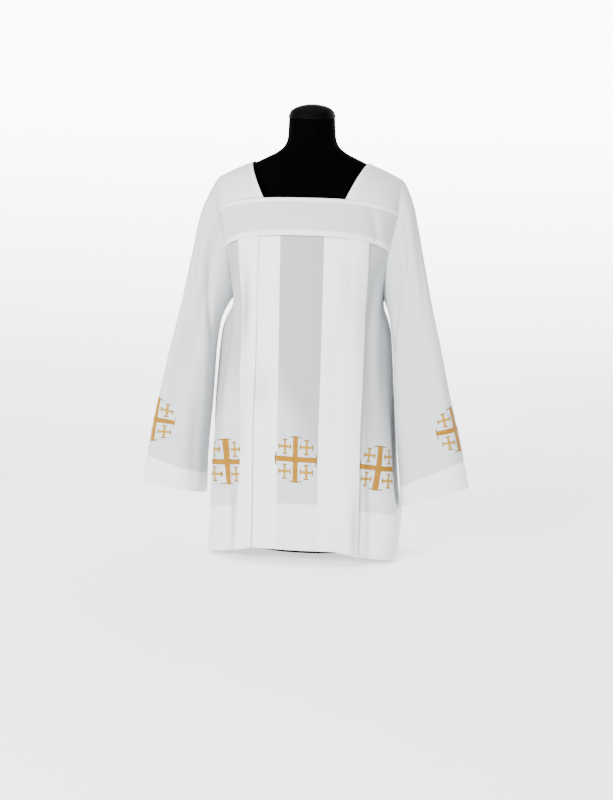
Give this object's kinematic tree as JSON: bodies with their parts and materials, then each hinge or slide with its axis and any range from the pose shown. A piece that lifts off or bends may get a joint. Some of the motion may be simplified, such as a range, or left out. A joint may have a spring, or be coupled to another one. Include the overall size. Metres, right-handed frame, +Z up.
{
  "type": "surplice on a dress form",
  "caption": "White pleated surplice with a square neckline, a chest band, wide set-in sleeves and deep hems, worn by a black limbless dress form that stands on its flat foot.",
  "frame": {"origin": "middle of the dress form's flat foot, on the surface it stands on", "axes": "+Z up, the front faces -Y, +X towards the wearer's left"},
  "size_m": [0.798, 0.3247, 1.0864],
  "materials": {
    "white_cloth": "smooth plain-woven polyester and cotton, crisp, slightly see-through in one layer",
    "gold_thread": "satin-stitched embroidery thread with a soft shine",
    "form_cover": "matte black jersey stretched over the form",
    "neck_cap": "black, with a soft shine"
  },
  "bodies": {
    "root": {"form_torso": "form_cover", "form_cap": "neck_cap", "front_panel": "white_cloth", "back_panel": "white_cloth", "chest_band": "white_cloth", "back_band": "white_cloth", "shoulder_left": "white_cloth", "shoulder_right": "white_cloth", "sleeve_left": "white_cloth", "sleeve_right": "white_cloth"}
  },
  "joints": []
}
